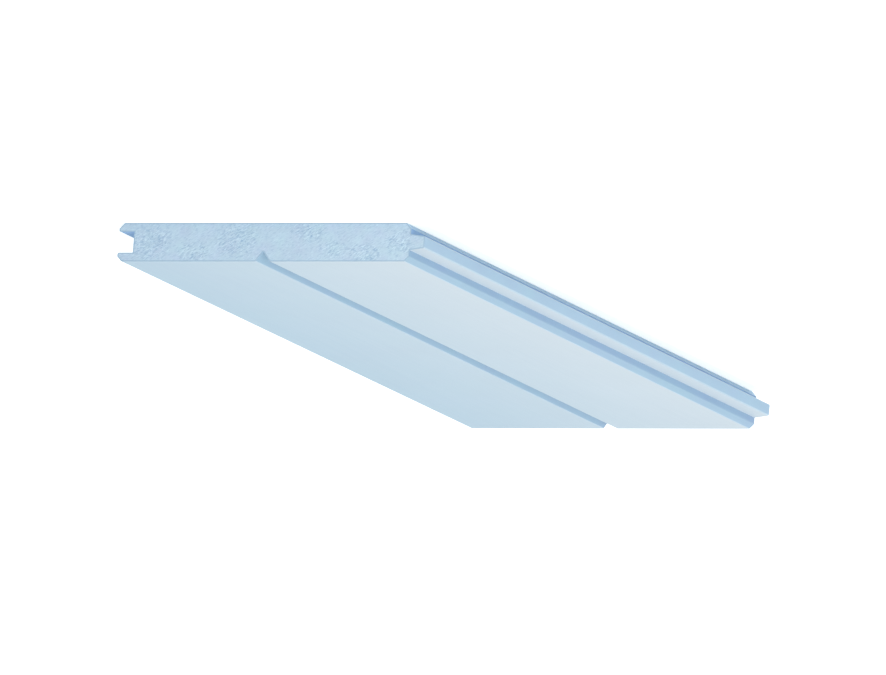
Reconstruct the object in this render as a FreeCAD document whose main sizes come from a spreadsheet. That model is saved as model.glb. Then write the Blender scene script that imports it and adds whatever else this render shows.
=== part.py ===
import FreeCAD, Part
import os
import Sketcher

# Edge-and-centre V tongue and groove board: one straight length of stock, cut square at both ends.
# It lies on its back with the show face up. X runs across the board, from the tongue at -X to the groove at +X,
# Y runs along it, and Z is up. The origin is under the middle of the board, on the level of the back face.

# Alias, millimetres, what the size measures
SIZES = (
    ("board_length", 342.9, "length of the cut piece"),
    ("thickness", 15.875, "back face to show face"),
    ("cover_width", 130.175, "shoulder of the tongue to the grooved edge"),
    ("tongue_length", 6.35, "shoulder to tip"),
    ("tongue_root_height", 6.6, "height of the tongue at the shoulder"),
    ("tongue_taper", 0.9, "height lost on each side from root to tip"),
    ("side_clearance", 1.0, "groove wall to the root of the next board's tongue, each side"),
    ("tip_clearance", 0.4, "groove root to the tip of the next board's tongue"),
    ("face_bevel", 2.0, "leg of the bevels beside the show face"),
    ("back_bevel", 2.3, "leg of the bevels beside the back face"),
    ("nose_land", 1.0, "flat that the widest bevel leaves on the nose of a lip"),
    ("vee_width", 6.2, "centre V across its mouth"),
    ("vee_depth", 4.2, "centre V from the show face to its root"),
    ("vee_root_radius", 0.3, "round in the root of the centre V"),
    ("arris_radius", 0.6, "round on the arrises of the bevels and of the centre V"),
    ("mouth_radius", 0.6, "round on the two edges of the groove's mouth"),
    ("tip_radius", 0.5, "round on the two edges of the tongue's tip"),
)

# Places and sizes that follow from the sheet
SHOULDER_X = "(dims.tongue_length - dims.cover_width) / 2"
TIP_X = "-(dims.tongue_length + dims.cover_width) / 2"
EDGE_X = "(dims.tongue_length + dims.cover_width) / 2"
VEE_X = "dims.tongue_length / 2"
JOINT_Z = "dims.thickness / 2"
TIP_HEIGHT = "(dims.tongue_root_height - 2 * dims.tongue_taper)"
GROOVE_HEIGHT = "(dims.tongue_root_height + 2 * dims.side_clearance)"
GROOVE_DEPTH = "(dims.tongue_length + dims.tip_clearance)"
LARGEST_BEVEL = f"((dims.thickness - {GROOVE_HEIGHT}) / 2 - dims.nose_land)"

# Millimetres within which two places are the same
MATCH = 0.001

# How a constraint numbers the section's origin and the two ends of a line
ORIGIN = (-1, 1)
START = 1
END = 2

doc = FreeCAD.newDocument("board")

# Sheet of the driving sizes
sheet = doc.addObject("Spreadsheet::Sheet", "dims")
for row, (alias, millimetres, meaning) in enumerate(SIZES, start=1):
    sheet.set(f"A{row}", meaning)
    sheet.set(f"B{row}", str(millimetres))
    sheet.setAlias(f"B{row}", alias)
doc.recompute()


def value(expression):
    """The sheet's own value of an expression, as a plain number."""
    return float(sheet.evalExpression(expression))


body = doc.addObject("PartDesign::Body", "board")
body.Label = "board"
section_plane = next(plane for plane in body.Origin.OriginFeatures if plane.Role == "XZ_Plane")


def section_sketch(name, corners):
    """A closed outline on the board's cross-section, each corner held at a pair of expressions for X and Z."""
    sketch = body.newObject("Sketcher::SketchObject", name)
    sketch.AttachmentSupport = [(section_plane, "")]
    sketch.MapMode = "FlatFace"
    points = [FreeCAD.Vector(value(x), value(z), 0) for x, z in corners]
    for line, start in enumerate(points):
        end = points[(line + 1) % len(points)]
        sketch.addGeometry(Part.LineSegment(start, end), False)
    for line in range(len(points)):
        following = (line + 1) % len(points)
        sketch.addConstraint(Sketcher.Constraint("Coincident", line, END, following, START))
    for line, (point, (x, z)) in enumerate(zip(points, corners)):
        for kind, place, expression in (("DistanceX", point.x, x), ("DistanceY", point.y, z)):
            number = sketch.addConstraint(Sketcher.Constraint(kind, *ORIGIN, line, START, place))
            sketch.setExpression(f"Constraints[{number}]", expression)
    return sketch


def full_length(kind, name, sketch):
    """A Pad or Pocket of a section over the whole length of the board, half of it to each side of the section."""
    feature = body.newObject(kind, name)
    feature.Profile = sketch
    feature.SideType = "Symmetric"
    feature.setExpression("Length", "dims.board_length")
    doc.recompute()
    return feature


def long_edges(feature, chosen):
    """Names of a feature's lengthwise edges whose place (x, z) in the section is chosen."""
    names = []
    for number, edge in enumerate(feature.Shape.Edges, start=1):
        first, last = edge.Vertexes[0].Point, edge.Vertexes[-1].Point
        lengthwise = abs(first.x - last.x) < MATCH and abs(first.z - last.z) < MATCH
        if lengthwise and chosen(first.x, first.z):
            names.append(f"Edge{number}")
    return names


def dress_edges(kind, name, size_name, size_expression, chosen):
    """A Chamfer or Fillet on the chosen lengthwise edges of the board as it stands so far."""
    base = body.Tip
    feature = body.newObject(kind, name)
    feature.Base = (base, long_edges(base, chosen))
    feature.setExpression(size_name, size_expression)
    doc.recompute()
    return feature


def same(a, b):
    return abs(a - b) < MATCH


# Planed blank, without its tongue
blank = full_length("PartDesign::Pad", "blank", section_sketch("blank_section", [
    (SHOULDER_X, "0"),
    (EDGE_X, "0"),
    (EDGE_X, "dims.thickness"),
    (SHOULDER_X, "dims.thickness"),
]))

# Tongue at mid-thickness, tapered from its root to its tip
tongue = full_length("PartDesign::Pad", "tongue", section_sketch("tongue_section", [
    (SHOULDER_X, f"{JOINT_Z} - dims.tongue_root_height / 2"),
    (SHOULDER_X, f"{JOINT_Z} + dims.tongue_root_height / 2"),
    (TIP_X, f"{JOINT_Z} + {TIP_HEIGHT} / 2"),
    (TIP_X, f"{JOINT_Z} - {TIP_HEIGHT} / 2"),
]))

# Groove that takes the next board's tongue
groove = full_length("PartDesign::Pocket", "groove", section_sketch("groove_section", [
    (f"{EDGE_X} - {GROOVE_DEPTH}", f"{JOINT_Z} - {GROOVE_HEIGHT} / 2"),
    (EDGE_X, f"{JOINT_Z} - {GROOVE_HEIGHT} / 2"),
    (EDGE_X, f"{JOINT_Z} + {GROOVE_HEIGHT} / 2"),
    (f"{EDGE_X} - {GROOVE_DEPTH}", f"{JOINT_Z} + {GROOVE_HEIGHT} / 2"),
]))

# V down the middle of the show face
vee = full_length("PartDesign::Pocket", "vee", section_sketch("vee_section", [
    (f"{VEE_X} - dims.vee_width / 2", "dims.thickness"),
    (VEE_X, "dims.thickness - dims.vee_depth"),
    (f"{VEE_X} + dims.vee_width / 2", "dims.thickness"),
]))

show_face_z = value("dims.thickness")
back_face_z = 0.0
shoulder_x = value(SHOULDER_X)
edge_x = value(EDGE_X)
tip_x = value(TIP_X)
vee_root_z = value("dims.thickness - dims.vee_depth")
joint_z = value(JOINT_Z)
mouth_half = value(f"{GROOVE_HEIGHT} / 2")


def on_side(x):
    return same(x, shoulder_x) or same(x, edge_x)


def on_face(z):
    return same(z, show_face_z) or same(z, back_face_z)


def off_joint(z):
    return abs(z - joint_z) > mouth_half + MATCH


# Bevels on the four long corners
dress_edges("PartDesign::Chamfer", "face_bevels", "Size", f"min(dims.face_bevel; {LARGEST_BEVEL})",
            lambda x, z: on_side(x) and same(z, show_face_z))
dress_edges("PartDesign::Chamfer", "back_bevels", "Size", f"min(dims.back_bevel; {LARGEST_BEVEL})",
            lambda x, z: on_side(x) and same(z, back_face_z))

# Rounds that ease the long edges
dress_edges("PartDesign::Fillet", "arrises", "Radius", "dims.arris_radius",
            lambda x, z: on_face(z) or (on_side(x) and off_joint(z)))
dress_edges("PartDesign::Fillet", "mouth_rounds", "Radius", "dims.mouth_radius",
            lambda x, z: same(x, edge_x) and same(abs(z - joint_z), mouth_half))
dress_edges("PartDesign::Fillet", "tip_rounds", "Radius", "dims.tip_radius",
            lambda x, z: same(x, tip_x))
dress_edges("PartDesign::Fillet", "vee_root_round", "Radius", "dims.vee_root_radius",
            lambda x, z: same(z, vee_root_z))

# The board is whole, each cut has cut and the tongue has been added
doc.recompute()
for item in doc.Objects:
    if "Invalid" in item.State or "Error" in item.State:
        raise RuntimeError(f"{item.Name} failed: {item.State}")
if not tongue.Shape.Volume > blank.Shape.Volume:
    raise RuntimeError("the tongue adds nothing")
if not tongue.Shape.Volume > groove.Shape.Volume > vee.Shape.Volume > body.Shape.Volume:
    raise RuntimeError("a cut removes nothing")
if body.Shape.isNull() or not body.Shape.isValid() or len(body.Shape.Solids) != 1:
    raise RuntimeError("the board is not one valid solid")

os.makedirs("parts", exist_ok=True)
body.Shape.exportStep(f"parts/{body.Label}.step")
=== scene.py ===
"""A length of edge-and-centre V tongue and groove board in cellular plastic, with its show face up."""
import math
from collections import namedtuple

import bmesh
import bpy
from mathutils import Matrix, Vector
from mathutils.kdtree import KDTree


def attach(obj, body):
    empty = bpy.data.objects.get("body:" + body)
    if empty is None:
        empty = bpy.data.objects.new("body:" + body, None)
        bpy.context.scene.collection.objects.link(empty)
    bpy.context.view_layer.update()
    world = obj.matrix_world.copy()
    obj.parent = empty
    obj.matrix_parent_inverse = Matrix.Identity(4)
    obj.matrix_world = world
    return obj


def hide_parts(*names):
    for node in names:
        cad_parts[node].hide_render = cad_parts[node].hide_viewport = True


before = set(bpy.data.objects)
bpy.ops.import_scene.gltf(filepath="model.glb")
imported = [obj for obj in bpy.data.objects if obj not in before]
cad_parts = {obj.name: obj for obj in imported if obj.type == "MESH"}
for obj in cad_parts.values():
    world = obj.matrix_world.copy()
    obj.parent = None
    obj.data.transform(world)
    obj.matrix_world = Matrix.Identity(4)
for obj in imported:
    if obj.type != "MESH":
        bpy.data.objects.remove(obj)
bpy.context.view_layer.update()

MM = 0.001

# Sizes of the board, the same as in the part's source
LENGTH = 342.9 * MM
THICKNESS = 15.875 * MM
COVER_WIDTH = 130.175 * MM
TONGUE_LENGTH = 6.35 * MM
TONGUE_ROOT_HEIGHT = 6.6 * MM
TONGUE_TIP_HEIGHT = 4.8 * MM
GROOVE_HEIGHT = 8.6 * MM
GROOVE_DEPTH = 6.75 * MM
FACE_BEVEL = 2.0 * MM
BACK_BEVEL = 2.3 * MM
VEE_WIDTH = 6.2 * MM
VEE_DEPTH = 4.2 * MM
VEE_ROOT_RADIUS = 0.3 * MM
ARRIS_RADIUS = 0.6 * MM
MOUTH_RADIUS = 0.6 * MM
TIP_RADIUS = 0.5 * MM

# Places across the section that follow from them
SHOULDER_X = (TONGUE_LENGTH - COVER_WIDTH) / 2
TIP_X = SHOULDER_X - TONGUE_LENGTH
EDGE_X = SHOULDER_X + COVER_WIDTH
VEE_X = TONGUE_LENGTH / 2
JOINT_Z = THICKNESS / 2
VEE_ROOT_Z = THICKNESS - VEE_DEPTH

# The way that each long side faces along X, and each end along Y
TONGUE_SIDE = -1
GROOVE_SIDE = 1
NEAR_END = -1
FAR_END = 1

# Turns of the long edges, from one face to the next, and how a round is made there
SQUARE_TURN = math.radians(90)
BEVEL_TURN = math.radians(45)
VEE_WALL_TURN = math.atan2(VEE_DEPTH, VEE_WIDTH / 2)
TONGUE_SLOPE = math.atan2((TONGUE_ROOT_HEIGHT - TONGUE_TIP_HEIGHT) / 2, TONGUE_LENGTH)
ROUND_SEGMENTS = 4
ROUND_PROFILE = 0.5

# Stock left on each end for the saw, and the depth of the short bands next to the cuts
SAW_ALLOWANCE = 4.0 * MM
STUB = 2.0 * MM
END_BAND = 3.0 * MM

# Two places closer than the first are the same, and points closer than the second are one
MATCH = 0.02 * MM
MERGE = 0.002 * MM

# How much of its normal lies along the way that a face faces, and how far the surface turns at a sharp edge
FACING = 0.9
SHARP_TURN = math.radians(35)

BLACK = (0, 0, 0, 1)
WHITE = (1, 1, 1, 1)


def same(a, b):
    return abs(a - b) < MATCH


def select_only(piece):
    bpy.ops.object.select_all(action="DESELECT")
    piece.select_set(True)
    bpy.context.view_layer.objects.active = piece


def start_edit(piece):
    """Open this piece alone in edit mode, with nothing selected on it."""
    select_only(piece)
    bpy.ops.object.mode_set(mode="EDIT")
    bpy.ops.mesh.select_all(action="DESELECT")


def end_edit():
    bpy.ops.mesh.select_all(action="DESELECT")
    bpy.ops.object.mode_set(mode="OBJECT")


def select_faces(piece, chosen):
    """Select only the faces whose middle and normal are chosen."""
    bpy.context.tool_settings.mesh_select_mode = (False, False, True)
    bpy.ops.mesh.select_all(action="DESELECT")
    mesh = bmesh.from_edit_mesh(piece.data)
    for face in mesh.faces:
        face.select_set(chosen(face.calc_center_median(), face.normal))
    bmesh.update_edit_mesh(piece.data)


def select_long_edges(piece, chosen):
    """Select only the lengthwise edges whose place (x, z) in the section is chosen."""
    bpy.context.tool_settings.mesh_select_mode = (False, True, False)
    bpy.ops.mesh.select_all(action="DESELECT")
    mesh = bmesh.from_edit_mesh(piece.data)
    for edge in mesh.edges:
        first, last = (vert.co for vert in edge.verts)
        lengthwise = same(first.x, last.x) and same(first.z, last.z)
        edge.select_set(lengthwise and chosen(first.x, first.z))
    bmesh.update_edit_mesh(piece.data)


def round_long_edges(piece, radius, turn, chosen):
    """Round the chosen lengthwise edges to a radius, where the surface turns by an angle."""
    select_long_edges(piece, chosen)
    bpy.ops.mesh.bevel(offset_type="OFFSET", offset=radius * math.tan(turn / 2), segments=ROUND_SEGMENTS,
                       profile=ROUND_PROFILE, affect="EDGES", clamp_overlap=False)


def planed_blank():
    """Square stock without its tongue, long enough to saw at both ends."""
    bpy.ops.object.select_all(action="DESELECT")
    bpy.ops.mesh.primitive_cube_add(size=1.0, location=((SHOULDER_X + EDGE_X) / 2, 0, JOINT_Z))
    blank = bpy.context.object
    blank.name = "sawn_board"
    blank.data.name = "sawn_board"
    blank.scale = (COVER_WIDTH, LENGTH + 2 * SAW_ALLOWANCE, THICKNESS)
    bpy.ops.object.transform_apply(location=True, rotation=True, scale=True)
    return blank


def strip_along_side(board, side, height):
    """Divide one long side into three and leave the middle strip, of this height, selected."""
    for level in (JOINT_Z - height / 2, JOINT_Z + height / 2):
        select_faces(board, lambda middle, normal: normal.x * side > FACING)
        bpy.ops.mesh.bisect(plane_co=(0, 0, level), plane_no=(0, 0, 1))
    select_faces(board, lambda middle, normal: normal.x * side > FACING and same(middle.z, JOINT_Z))


def run_tongue(board):
    strip_along_side(board, TONGUE_SIDE, TONGUE_ROOT_HEIGHT)
    bpy.ops.mesh.extrude_region_move(TRANSFORM_OT_translate={"value": (-TONGUE_LENGTH, 0, 0)})
    bpy.ops.transform.resize(value=(1, 1, TONGUE_TIP_HEIGHT / TONGUE_ROOT_HEIGHT),
                             center_override=(TIP_X, 0, JOINT_Z))


def run_groove(board):
    strip_along_side(board, GROOVE_SIDE, GROOVE_HEIGHT)
    bpy.ops.mesh.extrude_region_move(TRANSFORM_OT_translate={"value": (-GROOVE_DEPTH, 0, 0)})


def run_vee(board):
    """Divide the show face along the V's mouth and middle, and sink the middle line to the root."""
    for place in (VEE_X - VEE_WIDTH / 2, VEE_X, VEE_X + VEE_WIDTH / 2):
        select_faces(board, lambda middle, normal: normal.z > FACING and same(middle.z, THICKNESS))
        bpy.ops.mesh.bisect(plane_co=(place, 0, 0), plane_no=(1, 0, 0))
    select_long_edges(board, lambda x, z: same(x, VEE_X) and same(z, THICKNESS))
    bpy.ops.transform.translate(value=(0, 0, -VEE_DEPTH))


def on_side(x):
    return same(x, SHOULDER_X) or same(x, EDGE_X)


def on_face(z):
    return same(z, THICKNESS) or same(z, 0)


def off_joint(z):
    return abs(z - JOINT_Z) > GROOVE_HEIGHT / 2 + MATCH


def at_vee_mouth(x):
    return same(abs(x - VEE_X), VEE_WIDTH / 2)


def at_vee_root(x, z):
    return same(x, VEE_X) and same(z, VEE_ROOT_Z)


def at_groove_mouth(x, z):
    return same(x, EDGE_X) and same(abs(z - JOINT_Z), GROOVE_HEIGHT / 2)


def bevel_corners(board):
    for level, leg in ((THICKNESS, FACE_BEVEL), (0, BACK_BEVEL)):
        select_long_edges(board, lambda x, z: on_side(x) and same(z, level))
        bpy.ops.mesh.bevel(offset_type="OFFSET", offset=leg, segments=1,
                           affect="EDGES", clamp_overlap=False)


def ease_edges(board):
    """Round every long edge as the cutters leave it."""
    round_long_edges(board, ARRIS_RADIUS, BEVEL_TURN,
                     lambda x, z: (on_face(z) and not at_vee_mouth(x)) or (on_side(x) and off_joint(z)))
    round_long_edges(board, ARRIS_RADIUS, VEE_WALL_TURN, lambda x, z: on_face(z) and at_vee_mouth(x))
    round_long_edges(board, VEE_ROOT_RADIUS, 2 * VEE_WALL_TURN, at_vee_root)
    round_long_edges(board, MOUTH_RADIUS, SQUARE_TURN, at_groove_mouth)
    round_long_edges(board, TIP_RADIUS, SQUARE_TURN - TONGUE_SLOPE, lambda x, z: same(x, TIP_X))


def trim_stock(board):
    """Cut the rough ends off square, a little over length, and mark off a band next to each cut."""
    for end in (NEAR_END, FAR_END):
        bpy.ops.mesh.select_all(action="SELECT")
        bpy.ops.mesh.bisect(plane_co=(0, end * (LENGTH / 2 + STUB), 0), plane_no=(0, end, 0),
                            use_fill=True, clear_outer=True)
        bpy.ops.mesh.select_all(action="SELECT")
        bpy.ops.mesh.bisect(plane_co=(0, end * (LENGTH / 2 - END_BAND), 0), plane_no=(0, end, 0))


def run_board():
    board = planed_blank()
    start_edit(board)
    run_tongue(board)
    run_groove(board)
    run_vee(board)
    bevel_corners(board)
    ease_edges(board)
    trim_stock(board)
    bpy.ops.mesh.select_all(action="SELECT")
    bpy.ops.mesh.remove_doubles(threshold=MERGE)
    bpy.ops.mesh.normals_make_consistent(inside=False)
    end_edit()
    return board


# Saw cut: its slab is larger than the section all round, and fine enough to carry the strokes
SLAB_MARGIN = 1.2 * MM
SLAB_DEPTH = 8.0 * MM
SLAB_PITCH = 0.22 * MM
STROKE_RISE = math.radians(27)
DASH_RISE = math.radians(36)

# Marks of the teeth, with the levels of a pattern where a mark starts and where it has its full depth
SawMark = namedtuple("SawMark", "name rise length width depth start full torn_only")
SAW_MARKS = (
    SawMark("strokes", STROKE_RISE, 2.3 * MM, 0.58 * MM, 0.09 * MM, start=0.50, full=0.64, torn_only=True),
    SawMark("dashes", DASH_RISE, 1.4 * MM, 0.52 * MM, 0.08 * MM, start=0.52, full=0.66, torn_only=True),
    SawMark("waver", STROKE_RISE, 5.0 * MM, 2.2 * MM, 0.04 * MM, start=0.30, full=0.80, torn_only=False),
)

# Rough places on a cut end, where the teeth tore the foam: middle x and z, half width and half height
TORN_PLACES = (
    (54.0 * MM, 8.0 * MM, 13.0 * MM, 10.0 * MM),
    (34.0 * MM, 12.0 * MM, 10.0 * MM, 6.0 * MM),
    (16.0 * MM, 7.0 * MM, 13.0 * MM, 10.0 * MM),
    (-16.5 * MM, 3.5 * MM, 10.0 * MM, 6.0 * MM),
    (-28.0 * MM, 11.0 * MM, 9.0 * MM, 5.0 * MM),
    (-42.0 * MM, 12.5 * MM, 10.0 * MM, 6.0 * MM),
    (-57.0 * MM, 8.0 * MM, 9.0 * MM, 7.0 * MM),
)
SMOOTHEST = 0.25

# Where the patterns start on each end, so that the two differ
PATTERN_STEP = Vector((0.031, 0.017, 0.023))
PATTERN_START = {NEAR_END: PATTERN_STEP, FAR_END: PATTERN_STEP * 3}


def mark_texture(mark):
    """A cloud pattern cut off below a level, so that only separate marks are left."""
    texture = bpy.data.textures.new(mark.name, "CLOUDS")
    texture.noise_scale = 1.0
    texture.noise_depth = 1
    texture.noise_basis = "ORIGINAL_PERLIN"
    texture.use_color_ramp = True
    low, high = texture.color_ramp.elements
    low.position = mark.start
    low.color = BLACK
    high.position = mark.full
    high.color = WHITE
    return texture


def mark_guide(mark, end):
    """A helper that turns and stretches a pattern over the cut, so that its marks run as the saw did."""
    guide = bpy.data.objects.new(mark.name, None)
    bpy.context.scene.collection.objects.link(guide)
    guide.matrix_world = (Matrix.Translation(PATTERN_START[end]) @ Matrix.Rotation(-mark.rise, 4, "Y")
                          @ Matrix.Diagonal((mark.length, mark.width, mark.width, 1)))
    bpy.context.view_layer.update()
    return guide


def torn_weight(place):
    """How rough the cut is at a place, from 0 to 1.

    The far end's rough places are those of the near end turned round.
    """
    x = place.x if place.y < 0 else -place.x
    most = SMOOTHEST
    for middle_x, middle_z, half_width, half_height in TORN_PLACES:
        across = (x - middle_x) / half_width
        up = (place.z - middle_z) / half_height
        most = max(most, 1 - across * across - up * up)
    return most


def cut_face(end):
    """A fine grid across one cut, larger than the section all round."""
    width = EDGE_X - TIP_X + 2 * SLAB_MARGIN
    height = THICKNESS + 2 * SLAB_MARGIN
    bpy.ops.object.select_all(action="DESELECT")
    bpy.ops.mesh.primitive_grid_add(x_subdivisions=round(width / SLAB_PITCH),
                                    y_subdivisions=round(height / SLAB_PITCH), size=1.0,
                                    location=(0, end * LENGTH / 2, JOINT_Z), rotation=(SQUARE_TURN, 0, 0))
    face = bpy.context.object
    face.scale = (width, height, 1)
    bpy.ops.object.transform_apply(location=True, rotation=True, scale=True)
    return face


def mark_cut(face, end):
    """Push the cut into the board along the marks of the teeth."""
    torn = face.vertex_groups.new(name="torn")
    for vert in face.data.vertices:
        torn.add([vert.index], torn_weight(vert.co), "REPLACE")
    for mark in SAW_MARKS:
        guide = mark_guide(mark, end)
        displace = face.modifiers.new(mark.name, "DISPLACE")
        displace.texture = mark_texture(mark)
        displace.texture_coords = "OBJECT"
        displace.texture_coords_object = guide
        displace.direction = "Y"
        displace.mid_level = 0.0
        displace.strength = -end * mark.depth
        if mark.torn_only:
            displace.vertex_group = torn.name
        bpy.ops.object.modifier_apply(modifier=mark.name)
        bpy.data.objects.remove(guide)


def waste_slab(end):
    """The stock beyond one cut: a slab whose cutting face carries the marks of the teeth."""
    slab = cut_face(end)
    mark_cut(slab, end)
    start_edit(slab)
    bpy.ops.mesh.select_all(action="SELECT")
    bpy.ops.mesh.region_to_loop()
    bpy.ops.mesh.extrude_edges_move(TRANSFORM_OT_translate={"value": (0, end * SLAB_DEPTH, 0)})
    bpy.ops.mesh.edge_face_add()
    bpy.ops.mesh.select_all(action="SELECT")
    bpy.ops.mesh.normals_make_consistent(inside=False)
    end_edit()
    return slab


def saw_end(board, end):
    """Cut one end to length by taking away the slab of waste beyond it."""
    slab = waste_slab(end)
    select_only(board)
    cut = board.modifiers.new("saw_cut", "BOOLEAN")
    cut.operation = "DIFFERENCE"
    cut.solver = "MANIFOLD"
    cut.object = slab
    bpy.ops.object.modifier_apply(modifier="saw_cut")
    bpy.data.objects.remove(slab)


# Finishes and painted shades, in the order of the board's material slots
SKIN, BACK, TIP, SHOULDER, UNDERCUT, GROOVE, BEVEL, ARRIS, SAWN = range(9)

# Tilts, as the upward part of a normal or its lengthwise part on a cut, and the widest strip of a round
FLANK_TILT = 0.97
BEVEL_TILT = 0.3
CUT_TILT = 0.5
ROUND_STRIP = 0.3 * MM


def width_across(mesh, polygon):
    """How wide a face is in the section."""
    across = [mesh.vertices[number].co.x for number in polygon.vertices]
    up = [mesh.vertices[number].co.z for number in polygon.vertices]
    return math.hypot(max(across) - min(across), max(up) - min(up))


def inside_groove(place):
    return place.x > EDGE_X - GROOVE_DEPTH - MATCH and abs(place.z - JOINT_Z) < GROOVE_HEIGHT / 2 + MATCH


def finish_and_painted_shade_of(mesh, polygon):
    """Which finish and painted shade a face has, from its place, its normal and its width.

    The back's bevels have the back's skin, painted paler as painted light, and the shoulder below the
    tongue is the undercut, painted darker as painted shade.
    """
    middle, normal = polygon.center, polygon.normal
    if abs(normal.y) > CUT_TILT and abs(middle.y) > LENGTH / 2 - END_BAND / 2:
        return SAWN
    if width_across(mesh, polygon) < ROUND_STRIP and middle.z > BACK_BEVEL + ARRIS_RADIUS:
        in_vee_root = abs(middle.x - VEE_X) < VEE_ROOT_RADIUS
        under_bevel = abs(middle.z - THICKNESS + FACE_BEVEL) < ARRIS_RADIUS / 2
        # Rounds at the V's root and under the face bevels take the bevel's blue, without the painted
        # highlight.
        return BEVEL if in_vee_root or under_bevel else ARRIS
    # Inside the groove: a deeper, bluer copy as painted shade.
    if inside_groove(middle):
        return GROOVE
    if middle.z < BACK_BEVEL:
        return BACK
    if abs(normal.z) > FLANK_TILT:
        return SKIN
    if normal.z > BEVEL_TILT:
        return BEVEL
    if middle.x < SHOULDER_X - MATCH:
        return TIP
    # Below the tongue: the undercut's darker, bluer copy as painted shade.
    below_tongue = middle.x < 0 and middle.z < JOINT_Z
    return UNDERCUT if below_tongue else SHOULDER


def assign_finishes_and_painted_shades(board, materials):
    board.data.materials.clear()
    for material in materials:
        board.data.materials.append(material)
    for polygon in board.data.polygons:
        polygon.material_index = finish_and_painted_shade_of(board.data, polygon)


def note_cuts(board):
    """Keep two facts at each point of a cut: how far inside the outline it lies, and how torn it is."""
    mesh = board.data
    on_cut = set()
    off_cut = set()
    for polygon in mesh.polygons:
        (on_cut if polygon.material_index == SAWN else off_cut).update(polygon.vertices)
    rim = on_cut & off_cut
    tree = KDTree(len(rim))
    for number in sorted(rim):
        tree.insert(mesh.vertices[number].co, number)
    tree.balance()
    depths = [0.0] * len(mesh.vertices)
    tearing = [0.0] * len(mesh.vertices)
    for number in on_cut:
        place = mesh.vertices[number].co
        _, _, depths[number] = tree.find(place)
        tearing[number] = torn_weight(place)
    for name, values in (("skin_depth", depths), ("tearing", tearing)):
        mesh.attributes.new(name, "FLOAT", "POINT").data.foreach_set("value", values)


# Map for baking: each cut end takes a strip as wide as the map, and the long faces, unrolled, take the rest
MAP_MARGIN = 0.008
MAP_SPAN = 1 - 2 * MAP_MARGIN
END_MAP_SCALE = MAP_SPAN / (EDGE_X - TIP_X)
NEAR_END_V = MAP_MARGIN
FAR_END_V = NEAR_END_V + THICKNESS * END_MAP_SCALE + MAP_MARGIN
LONG_FACES_V = FAR_END_V + THICKNESS * END_MAP_SCALE + MAP_MARGIN
LONG_FACES_SPAN = 1 - MAP_MARGIN - LONG_FACES_V


def section_corners(mesh):
    """The corners of the section (x, z) in order round the board, from the edges beside the far cut."""
    ring = {}
    for edge in mesh.edges:
        first, last = edge.vertices
        if all(same(mesh.vertices[number].co.y, LENGTH / 2 - END_BAND) for number in (first, last)):
            ring.setdefault(first, []).append(last)
            ring.setdefault(last, []).append(first)
    start = min(ring)
    order = [start, ring[start][0]]
    while order[-1] != start:
        order.append(next(number for number in ring[order[-1]] if number != order[-2]))
    return [Vector((mesh.vertices[number].co.x, mesh.vertices[number].co.z)) for number in order]


def stretches_round(corners):
    """The straight stretches of the section, and the length of them all.

    Each stretch has its first corner, its direction, its length and how far round the section it starts.
    """
    stretches = []
    round_so_far = 0.0
    for first, last in zip(corners, corners[1:]):
        run = last - first
        stretches.append((first, run.normalized(), run.length, round_so_far))
        round_so_far += run.length
    return stretches, round_so_far


def stretch_of(stretches, place):
    """The stretch of the section that a place lies on."""
    def off_stretch(stretch):
        first, direction, length, _ = stretch
        along = min(max((place - first).dot(direction), 0), length)
        return (first + direction * along - place).length
    return min(stretches, key=off_stretch)


def on_end_strip(corner, strip):
    """Where a corner of a cut end goes on the map."""
    return MAP_MARGIN + (corner.x - TIP_X) * END_MAP_SCALE, strip + corner.z * END_MAP_SCALE


def on_unrolled_faces(corner, stretch, whole_round):
    """Where a corner of the long faces goes on the map."""
    first, direction, _, start = stretch
    round_to_here = start + (Vector((corner.x, corner.z)) - first).dot(direction)
    along = MAP_MARGIN + (corner.y / LENGTH + 1 / 2) * MAP_SPAN
    return along, LONG_FACES_V + round_to_here / whole_round * LONG_FACES_SPAN


def lay_bake_map(board):
    """Give the board its own map for baking, on which the cut ends are large enough for their strokes."""
    mesh = board.data
    stretches, whole_round = stretches_round(section_corners(mesh))
    layer = mesh.uv_layers.new(name="OFBake")
    for polygon in mesh.polygons:
        middle = polygon.center
        sawn = polygon.material_index == SAWN
        strip = NEAR_END_V if middle.y < 0 else FAR_END_V
        stretch = None if sawn else stretch_of(stretches, Vector((middle.x, middle.z)))
        for loop in polygon.loop_indices:
            corner = mesh.vertices[mesh.loops[loop].vertex_index].co
            if sawn:
                layer.uv[loop].vector = on_end_strip(corner, strip)
            else:
                layer.uv[loop].vector = on_unrolled_faces(corner, stretch, whole_round)


def smooth_shading(board):
    select_only(board)
    bpy.ops.object.shade_smooth_by_angle(angle=SHARP_TURN)
    weighted = board.modifiers.new("face_weight", "WEIGHTED_NORMAL")
    weighted.keep_sharp = True
    bpy.ops.object.modifier_apply(modifier="face_weight")


# Kinds of socket on a shader group
COLOUR = "NodeSocketColor"
VALUE = "NodeSocketFloat"


def feed(tree, socket, source):
    """Link a socket to its source, or set it where the source is a plain value."""
    if isinstance(source, bpy.types.NodeSocket):
        tree.links.new(source, socket)
    else:
        socket.default_value = source


def add_node(tree, kind, sockets=(), **options):
    """Add a node, set its options, and give each named socket a value or a link."""
    node = tree.nodes.new(kind)
    for name, option in options.items():
        setattr(node, name, option)
    for name, source in dict(sockets).items():
        feed(tree, node.inputs[name], source)
    return node


def object_place(tree):
    return add_node(tree, "ShaderNodeTexCoord").outputs["Object"]


def kept_fact(tree, name):
    """A value kept at the points of the board's mesh."""
    return add_node(tree, "ShaderNodeAttribute", attribute_name=name).outputs["Fac"]


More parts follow.
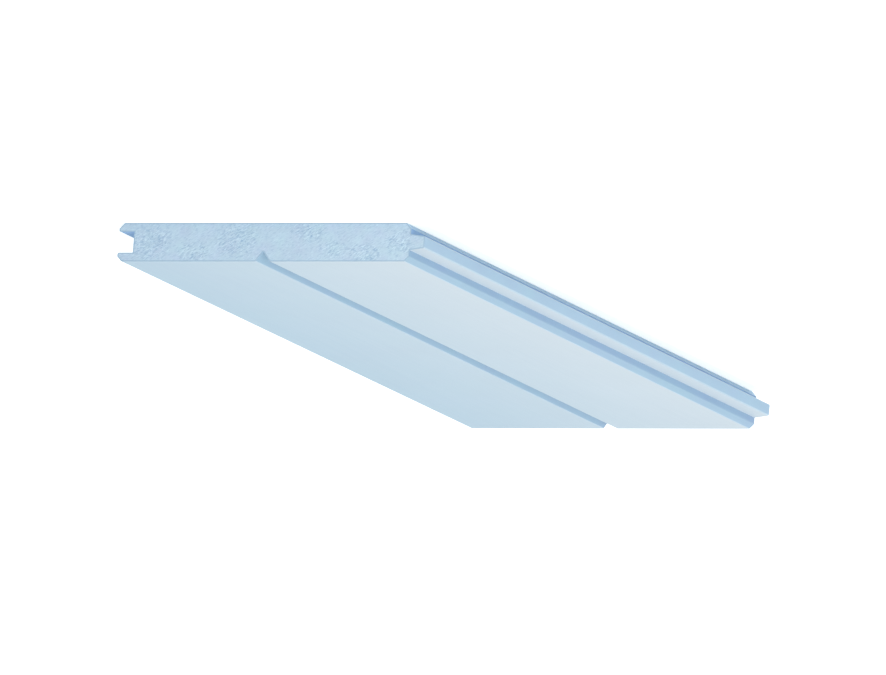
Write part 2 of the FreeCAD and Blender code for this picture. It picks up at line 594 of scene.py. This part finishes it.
def cloud(tree, place, scale, detail):
    """A soft pattern that keeps about a middle value."""
    noise = add_node(tree, "ShaderNodeTexNoise", {"Vector": place, "Scale": scale, "Detail": detail})
    return noise.outputs["Fac"]


def spread(tree, value, low, high, to_low=0.0, to_high=1.0):
    """Stretch a value from one range to another, and hold it there."""
    return add_node(tree, "ShaderNodeMapRange", {
        "Value": value, "From Min": low, "From Max": high, "To Min": to_low, "To Max": to_high,
    }).outputs["Result"]


def work_out(tree, operation, *sources):
    node = add_node(tree, "ShaderNodeMath", operation=operation)
    for socket, source in zip(node.inputs, sources):
        feed(tree, socket, source)
    return node.outputs["Value"]


def blend_colours(tree, factor, first, second):
    return add_node(tree, "ShaderNodeMix", {"Factor": factor, "A": first, "B": second},
                    data_type="RGBA").outputs["Result"]


def new_group(name, inputs, outputs):
    """An empty shader group with these inputs and outputs, each a label and a kind of socket."""
    tree = bpy.data.node_groups.new(name, "ShaderNodeTree")
    for way, sockets in (("INPUT", inputs), ("OUTPUT", outputs)):
        for label, kind in sockets:
            tree.interface.new_socket(label, in_out=way, socket_type=kind)
    return tree, add_node(tree, "NodeGroupInput").outputs, add_node(tree, "NodeGroupOutput").inputs


def place_group(tree, group, sockets=()):
    return add_node(tree, "ShaderNodeGroup", sockets, node_tree=group).outputs


# Middle of a cloud pattern, how far it usually swings to each side, and the hue that changes nothing
CLOUD_MIDDLE = 0.5
CLOUD_SWING = 0.25
HUE_UNCHANGED = 0.5

# Fineness of the patches in lightness and in hue, and the move that keeps the two apart
LIGHTNESS_DETAIL = 3.0
HUE_DETAIL = 1.0
HUE_PATCHES_START = (0.37, 0.11, 0.23)

# Lines along the board: how far they are drawn out, and how they break up
LINE_DRAW = (1.0, 0.012, 1.0)
LINE_DETAIL = 3.0
LINE_BREAKUP = 0.6


def drift(tree, place, scale, detail, amount):
    """A soft pattern that swings to both sides of zero by about this amount."""
    swing = work_out(tree, "SUBTRACT", cloud(tree, place, scale, detail), CLOUD_MIDDLE)
    return work_out(tree, "MULTIPLY", work_out(tree, "DIVIDE", swing, CLOUD_SWING), amount)


def foam_tint_group():
    """A colour that drifts in soft patches, in lightness and in hue, as that of foamed plastic does."""
    inputs = (("Colour", COLOUR), ("Patches per Metre", VALUE), ("Drift", VALUE), ("Hue Drift", VALUE))
    tree, given, result = new_group("foam_tint", inputs, (("Colour", COLOUR),))
    place = object_place(tree)
    moved = add_node(tree, "ShaderNodeMapping", {"Vector": place, "Location": HUE_PATCHES_START})
    patches = given["Patches per Metre"]
    lightness = drift(tree, place, patches, LIGHTNESS_DETAIL, given["Drift"])
    hue = drift(tree, moved.outputs["Vector"], patches, HUE_DETAIL, given["Hue Drift"])
    tinted = add_node(tree, "ShaderNodeHueSaturation", {
        "Hue": work_out(tree, "ADD", HUE_UNCHANGED, hue),
        "Value": work_out(tree, "ADD", 1.0, lightness),
        "Color": given["Colour"],
    })
    feed(tree, result["Colour"], tinted.outputs["Color"])
    return tree


def foam_cells_group():
    """The small cells of the foam: their height, and a mask of the ones that a cutter has opened."""
    inputs = (("Cells per Metre", VALUE), ("Open Share", VALUE))
    tree, given, result = new_group("foam_cells", inputs, (("Height", VALUE), ("Open", VALUE)))
    distance = add_node(tree, "ShaderNodeTexVoronoi", {
        "Vector": object_place(tree), "Scale": given["Cells per Metre"],
    }).outputs["Distance"]
    feed(tree, result["Height"], distance)
    feed(tree, result["Open"], spread(tree, distance, given["Open Share"], 0.0))
    return tree


def long_lines_group():
    """Faint lines along the board, as a die or a cutter draws them: a height from 0 to 1."""
    tree, given, result = new_group("long_lines", (("Lines per Metre", VALUE),), (("Height", VALUE),))
    drawn = add_node(tree, "ShaderNodeMapping", {"Vector": object_place(tree), "Scale": LINE_DRAW})
    lines = add_node(tree, "ShaderNodeTexNoise", {
        "Vector": drawn.outputs["Vector"], "Scale": given["Lines per Metre"],
        "Detail": LINE_DETAIL, "Roughness": LINE_BREAKUP,
    })
    feed(tree, result["Height"], lines.outputs["Fac"])
    return tree


def across_board_group():
    """How far a place lies across the board, from 0 at the shoulder to 1 at the grooved edge, for the
    painted shade across the skins.
    """
    tree, _, result = new_group("across_board", (), (("Share", VALUE),))
    across = add_node(tree, "ShaderNodeSeparateXYZ", {"Vector": object_place(tree)}).outputs["X"]
    feed(tree, result["Share"], spread(tree, across, SHOULDER_X, EDGE_X))
    return tree


# Blues of the board, in linear colour
# Skin blues at the tongue and at the grooved edge: the change between them is painted shade, the fall-off
# of the light across the face.
SKIN_AT_TONGUE = (0.57, 0.665, 0.74, 1)
SKIN_AT_GROOVE = (0.485, 0.65, 0.772, 1)
# Back blues: painted paler and bluer than the show face, as painted light that lifts the shade on the
# back's bevels, and a little darker towards the grooved edge as painted shade.
BACK_AT_TONGUE = (0.56, 0.77, 0.95, 1)
BACK_AT_GROOVE = (0.54, 0.76, 0.95, 1)
# Milled blues: copies of one milled foam whose blues are painted shade for each place, palest on the tip,
# darker on the bevels and the shoulder, darker and bluer under the tongue and in the groove.
TIP_BLUE = (0.41, 0.57, 0.725, 1)
SHOULDER_BLUE = (0.325, 0.47, 0.64, 1)
UNDERCUT_BLUE = (0.29, 0.465, 0.73, 1)
GROOVE_BLUE = (0.38, 0.58, 0.82, 1)
BEVEL_BLUE = (0.35, 0.51, 0.655, 1)
OPEN_CELL_BLUE = (0.34, 0.50, 0.66, 1)
# Rounds: painted paler than the faces, a painted highlight along the edges.
ARRIS_BLUE = (0.52, 0.66, 0.77, 1)
SAWN_BLUE = (0.51, 0.64, 0.755, 1)
# Deeper blue for the strokes and the depth of the saw's marks, partly painted shade, and for the open
# cells; paler blue for a painted highlight on the burrs.
SAWN_DEEP = (0.305, 0.45, 0.61, 1)
SAWN_PALE = (0.64, 0.78, 0.88, 1)
RIM_BLUE = (0.36, 0.50, 0.63, 1)

# Shine, roughness low and high, and depth of the relief
SKIN_SHINE = 0.3
FOAM_SHINE = 0.2
SKIN_ROUGHNESS = (0.44, 0.54)
MILLED_ROUGHNESS = (0.58, 0.70)
ARRIS_ROUGHNESS = (0.46, 0.60)
SAWN_ROUGHNESS = (0.72, 0.88)
SKIN_RELIEF = 0.01 * MM
MILLED_RELIEF = 0.015 * MM
SAWN_RELIEF = 0.03 * MM

# Colour drift of each finish
SKIN_DRIFT = {"Patches per Metre": 28.0, "Drift": 0.012, "Hue Drift": 0.0025}
MILLED_DRIFT = {"Patches per Metre": 60.0, "Drift": 0.015, "Hue Drift": 0.0075}
ARRIS_DRIFT = {"Patches per Metre": 90.0, "Drift": 0.03, "Hue Drift": 0.0025}
SAWN_DRIFT = {"Patches per Metre": 130.0, "Drift": 0.03, "Hue Drift": 0.015}

# Lines of each finish, and the range of their height that the roughness follows
SKIN_LINES = {"Lines per Metre": 1100.0}
MILLED_LINES = {"Lines per Metre": 1600.0}
LINE_LOW = 0.3
LINE_HIGH = 0.7

# Cells of each finish, how far an open one darkens it, and how high a cell stands beside a line
MILLED_CELLS = {"Cells per Metre": 4500.0, "Open Share": 0.25}
SAWN_CELLS = {"Cells per Metre": 3500.0, "Open Share": 0.3}
MILLED_CELL_SHADE = 0.25
SAWN_CELL_SHADE = 0.2
CELL_HEIGHT = 0.6

# Torn strokes and their burrs in the colour of a cut end, the strokes deeper partly as painted shade and
# the burrs paler as a painted highlight: length and width, and the levels that show
STROKE_SIZE = (1.8 * MM, 0.48 * MM)
STROKE_LEVELS = (0.52, 0.64)
BURR_SIZE = (1.4 * MM, 0.42 * MM)
BURR_LEVELS = (0.55, 0.66)
BURR_START = (0.4, 0.2, 0.7)
BURR_HIGHLIGHT = 0.9
TEAR_DETAIL = 2.0

# How much the strokes and burrs show on smooth and on torn foam, and the tearing at which they show most
SMOOTH_SHOW = 0.15
TORN_SHOW = 0.9
FULLY_TORN = 0.8

# Depths of the cut at which its colour starts to deepen as painted shade and is deepest, and by how much
CUT_SHALLOW = 0.04 * MM
CUT_DEEP = 0.15 * MM
CUT_SHADE = 0.8

# Dense rim round a cut end: where it starts, where it is full, and how much it covers
RIM_START = 0.65 * MM
RIM_FULL = 0.30 * MM
RIM_SHADE = 0.95


def new_material(name, shine):
    material = bpy.data.materials.new(name)
    material.use_nodes = True
    shader = material.node_tree.nodes["Principled BSDF"]
    shader.inputs["Specular IOR Level"].default_value = shine
    return material, material.node_tree, shader


def lined_roughness(tree, shader, lines, roughness):
    """Let the roughness follow the lines, between two levels."""
    feed(tree, shader.inputs["Roughness"], spread(tree, lines["Height"], LINE_LOW, LINE_HIGH, *roughness))


def raise_relief(tree, shader, height, depth):
    bump = add_node(tree, "ShaderNodeBump", {"Height": height, "Distance": depth, "Strength": 1.0})
    feed(tree, shader.inputs["Normal"], bump.outputs["Normal"])


def satin_skin(groups, name, at_tongue, at_groove):
    """Smooth moulded skin with the faint lines of the die, a little bluer towards the grooved edge: painted
    shade, the fall-off of the light across the face painted into the colour.
    """
    material, tree, shader = new_material(name, SKIN_SHINE)
    across = place_group(tree, groups["across"])
    colour = blend_colours(tree, across["Share"], at_tongue, at_groove)
    tint = place_group(tree, groups["tint"], {"Colour": colour, **SKIN_DRIFT})
    lines = place_group(tree, groups["lines"], SKIN_LINES)
    feed(tree, shader.inputs["Base Color"], tint["Colour"])
    lined_roughness(tree, shader, lines, SKIN_ROUGHNESS)
    raise_relief(tree, shader, lines["Height"], SKIN_RELIEF)
    return material


def milled_foam(groups, name, colour):
    """Foam that a cutter has run along, with fine open cells; each copy's blue is the painted shade of its
    place.
    """
    material, tree, shader = new_material(name, SKIN_SHINE)
    tint = place_group(tree, groups["tint"], {"Colour": colour, **MILLED_DRIFT})
    cells = place_group(tree, groups["cells"], MILLED_CELLS)
    lines = place_group(tree, groups["lines"], MILLED_LINES)
    opened = work_out(tree, "MULTIPLY", cells["Open"], MILLED_CELL_SHADE)
    feed(tree, shader.inputs["Base Color"], blend_colours(tree, opened, tint["Colour"], OPEN_CELL_BLUE))
    lined_roughness(tree, shader, lines, MILLED_ROUGHNESS)
    raised_cells = work_out(tree, "MULTIPLY", cells["Height"], CELL_HEIGHT)
    raise_relief(tree, shader, work_out(tree, "ADD", lines["Height"], raised_cells), MILLED_RELIEF)
    return material


def eased_arris(groups):
    """The rounded long edges, painted a little paler than the faces beside them as a painted highlight."""
    material, tree, shader = new_material("eased_arris", SKIN_SHINE)
    tint = place_group(tree, groups["tint"], {"Colour": ARRIS_BLUE, **ARRIS_DRIFT})
    lines = place_group(tree, groups["lines"], MILLED_LINES)
    feed(tree, shader.inputs["Base Color"], tint["Colour"])
    lined_roughness(tree, shader, lines, ARRIS_ROUGHNESS)
    raise_relief(tree, shader, lines["Height"], SKIN_RELIEF)
    return material


def slanted_marks(tree, rise, size, levels, start=(0, 0, 0)):
    """Separate marks of this length and width that rise across a cut end: a mask from 0 to 1."""
    length, width = size
    along_marks = add_node(tree, "ShaderNodeMapping", {
        "Vector": object_place(tree), "Location": start,
        "Rotation": (0, -rise, 0), "Scale": (length, 1.0, width),
    }, vector_type="TEXTURE").outputs["Vector"]
    return spread(tree, cloud(tree, along_marks, 1.0, TEAR_DETAIL), *levels)


def cut_shade(tree):
    """How much the depth of the saw's marks deepens the colour: painted shade in the marks."""
    along = add_node(tree, "ShaderNodeSeparateXYZ", {"Vector": object_place(tree)}).outputs["Y"]
    depth = work_out(tree, "SUBTRACT", LENGTH / 2, work_out(tree, "ABSOLUTE", along))
    return spread(tree, depth, CUT_SHALLOW, CUT_DEEP, 0.0, CUT_SHADE)


def sawn_foam(groups):
    """A cut end: torn strokes deeper in colour, partly as painted shade, the deeper parts of the marks
    deepened as painted shade, their burrs paler as a painted highlight, and the dense skin as a rim round
    it.
    """
    material, tree, shader = new_material("sawn_foam", FOAM_SHINE)
    tint = place_group(tree, groups["tint"], {"Colour": SAWN_BLUE, **SAWN_DRIFT})
    cells = place_group(tree, groups["cells"], SAWN_CELLS)
    strokes = slanted_marks(tree, STROKE_RISE, STROKE_SIZE, STROKE_LEVELS)
    burrs = slanted_marks(tree, DASH_RISE, BURR_SIZE, BURR_LEVELS, BURR_START)
    torn = spread(tree, kept_fact(tree, "tearing"), 0.0, FULLY_TORN, SMOOTH_SHOW, TORN_SHOW)
    # Painted shade, partly: deeper where the cut goes deeper and along the torn strokes.
    deep = work_out(tree, "MAXIMUM", cut_shade(tree), work_out(tree, "MULTIPLY", strokes, torn))
    # Painted highlight on the burrs.
    pale = work_out(tree, "MULTIPLY", work_out(tree, "MULTIPLY", burrs, torn), BURR_HIGHLIGHT)
    opened = work_out(tree, "MULTIPLY", cells["Open"], SAWN_CELL_SHADE)
    rim = spread(tree, kept_fact(tree, "skin_depth"), RIM_START, RIM_FULL, 0.0, RIM_SHADE)
    colour = tint["Colour"]
    for share, blue in ((deep, SAWN_DEEP), (pale, SAWN_PALE), (opened, SAWN_DEEP), (rim, RIM_BLUE)):
        colour = blend_colours(tree, share, colour, blue)
    feed(tree, shader.inputs["Base Color"], colour)
    feed(tree, shader.inputs["Roughness"], spread(tree, strokes, 0.0, 1.0, *SAWN_ROUGHNESS))
    raise_relief(tree, shader, cells["Height"], SAWN_RELIEF)
    return material


# Photograph's view: far off with a long lens, turned over so that the near end shows at the top
LENS_MM = 1300.0
SENSOR_MM = 36.0
AZIMUTH = math.radians(-25.426)
ELEVATION = math.radians(10.377)
ROLL = math.radians(184.957)
DISTANCE = 13.0524
FRAME_RIGHT = -1.635 * MM
FRAME_UP = -4.327 * MM
NEAREST_SEEN = 0.1
FARTHEST_SEEN = 100.0


def place_camera():
    back = Vector((math.sin(AZIMUTH) * math.cos(ELEVATION), -math.cos(AZIMUTH) * math.cos(ELEVATION),
                   math.sin(ELEVATION)))
    level = Vector((math.cos(AZIMUTH), math.sin(AZIMUTH), 0))
    rise = back.cross(level)
    right = level * math.cos(ROLL) + rise * math.sin(ROLL)
    up = rise * math.cos(ROLL) - level * math.sin(ROLL)
    place = Vector((0, 0, JOINT_Z)) + right * FRAME_RIGHT + up * FRAME_UP + back * DISTANCE
    lens = bpy.data.cameras.new("photo_view")
    lens.lens = LENS_MM
    lens.sensor_width = SENSOR_MM
    lens.clip_start = NEAREST_SEEN
    lens.clip_end = FARTHEST_SEEN
    camera = bpy.data.objects.new("photo_view", lens)
    camera.matrix_world = Matrix((
        (right.x, up.x, back.x, place.x),
        (right.y, up.y, back.y, place.y),
        (right.z, up.z, back.z, place.z),
        (0, 0, 0, 1),
    ))
    bpy.context.scene.collection.objects.link(camera)
    bpy.context.scene.camera = camera


# Studio: a pale floor under a cool dome
FLOOR_HALF = 30.0
FLOOR_WHITE = (0.86, 0.86, 0.86, 1)
FLOOR_SHINE = 0.0
FLOOR_ROUGHNESS = 0.9
FLOOR_GLOW = 0.58
DOME_BLUE = (0.455, 0.51, 0.55, 1)

# Long softbox over the tongue side
KEY_COLOUR = (1.0, 0.88, 0.78)
KEY_WATTS = 1.6
KEY_PLACE = (-0.12, -0.25, 0.27)
KEY_LENGTH = 2.4
KEY_WIDTH = 0.12

# Low soft fill from the tongue side and the near end, and a weaker one from the groove: name, way, strength
FILL_COLOUR = (0.96, 1.0, 1.0)
FILL_SPREAD = math.radians(60)
FILLS = (
    ("fill", Vector((-0.66, -0.72, 0.20)), 1.75),
    ("groove_fill", Vector((0.80, 0.35, 0.48)), 0.6),
)


def seen_directly(tree):
    """A value of 1 on rays from the camera and on the rays that gloss and glass send on."""
    path = add_node(tree, "ShaderNodeLightPath").outputs
    seen = work_out(tree, "MAXIMUM", path["Is Camera Ray"], path["Is Glossy Ray"])
    return work_out(tree, "MAXIMUM", seen, path["Is Transmission Ray"])


def pale_floor():
    material, tree, shader = new_material("pale_floor", FLOOR_SHINE)
    shader.inputs["Base Color"].default_value = FLOOR_WHITE
    shader.inputs["Roughness"].default_value = FLOOR_ROUGHNESS
    shader.inputs["Emission Color"].default_value = WHITE
    glow = work_out(tree, "MULTIPLY", seen_directly(tree), FLOOR_GLOW)
    feed(tree, shader.inputs["Emission Strength"], glow)
    return material


def lay_floor():
    bpy.ops.object.select_all(action="DESELECT")
    bpy.ops.mesh.primitive_plane_add(size=2 * FLOOR_HALF, location=(0, 0, 0))
    floor = bpy.context.object
    floor.name = "floor"
    floor.data.materials.append(pale_floor())


def light_dome():
    world = bpy.data.worlds.new("studio")
    bpy.context.scene.world = world
    world.use_nodes = True
    tree = world.node_tree
    tone = blend_colours(tree, seen_directly(tree), DOME_BLUE, WHITE)
    feed(tree, tree.nodes["Background"].inputs["Color"], tone)


def add_lamp(name, kind, colour, strength):
    light = bpy.data.lights.new(name, kind)
    light.color = colour
    light.energy = strength
    lamp = bpy.data.objects.new(name, light)
    bpy.context.scene.collection.objects.link(lamp)
    return lamp


def hang_lamps():
    key = add_lamp("softbox", "AREA", KEY_COLOUR, KEY_WATTS)
    key.location = KEY_PLACE
    key.data.shape = "RECTANGLE"
    key.data.size = KEY_WIDTH
    key.data.size_y = KEY_LENGTH
    for name, towards_lamp, strength in FILLS:
        fill = add_lamp(name, "SUN", FILL_COLOUR, strength)
        fill.data.angle = FILL_SPREAD
        fill.rotation_euler = towards_lamp.to_track_quat("Z", "Y").to_euler()


place_camera()
lay_floor()
light_dome()
hang_lamps()

board = run_board()
saw_end(board, NEAR_END)
saw_end(board, FAR_END)
groups = {
    "tint": foam_tint_group(),
    "cells": foam_cells_group(),
    "lines": long_lines_group(),
    "across": across_board_group(),
}
assign_finishes_and_painted_shades(board, (
    satin_skin(groups, "satin_skin", SKIN_AT_TONGUE, SKIN_AT_GROOVE),
    # The back's skin is painted paler and bluer: painted light on the shaded back bevels.
    satin_skin(groups, "back_skin", BACK_AT_TONGUE, BACK_AT_GROOVE),
    # The milled copies differ only in their blue, which is painted shade for each place.
    milled_foam(groups, "milled_tip", TIP_BLUE),
    milled_foam(groups, "milled_shoulder", SHOULDER_BLUE),
    milled_foam(groups, "milled_undercut", UNDERCUT_BLUE),
    milled_foam(groups, "milled_groove", GROOVE_BLUE),
    milled_foam(groups, "milled_bevel", BEVEL_BLUE),
    eased_arris(groups),
    sawn_foam(groups),
))
note_cuts(board)
lay_bake_map(board)
smooth_shading(board)
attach(board, "root")
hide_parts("board")

bpy.context.scene.view_settings.view_transform = "Standard"
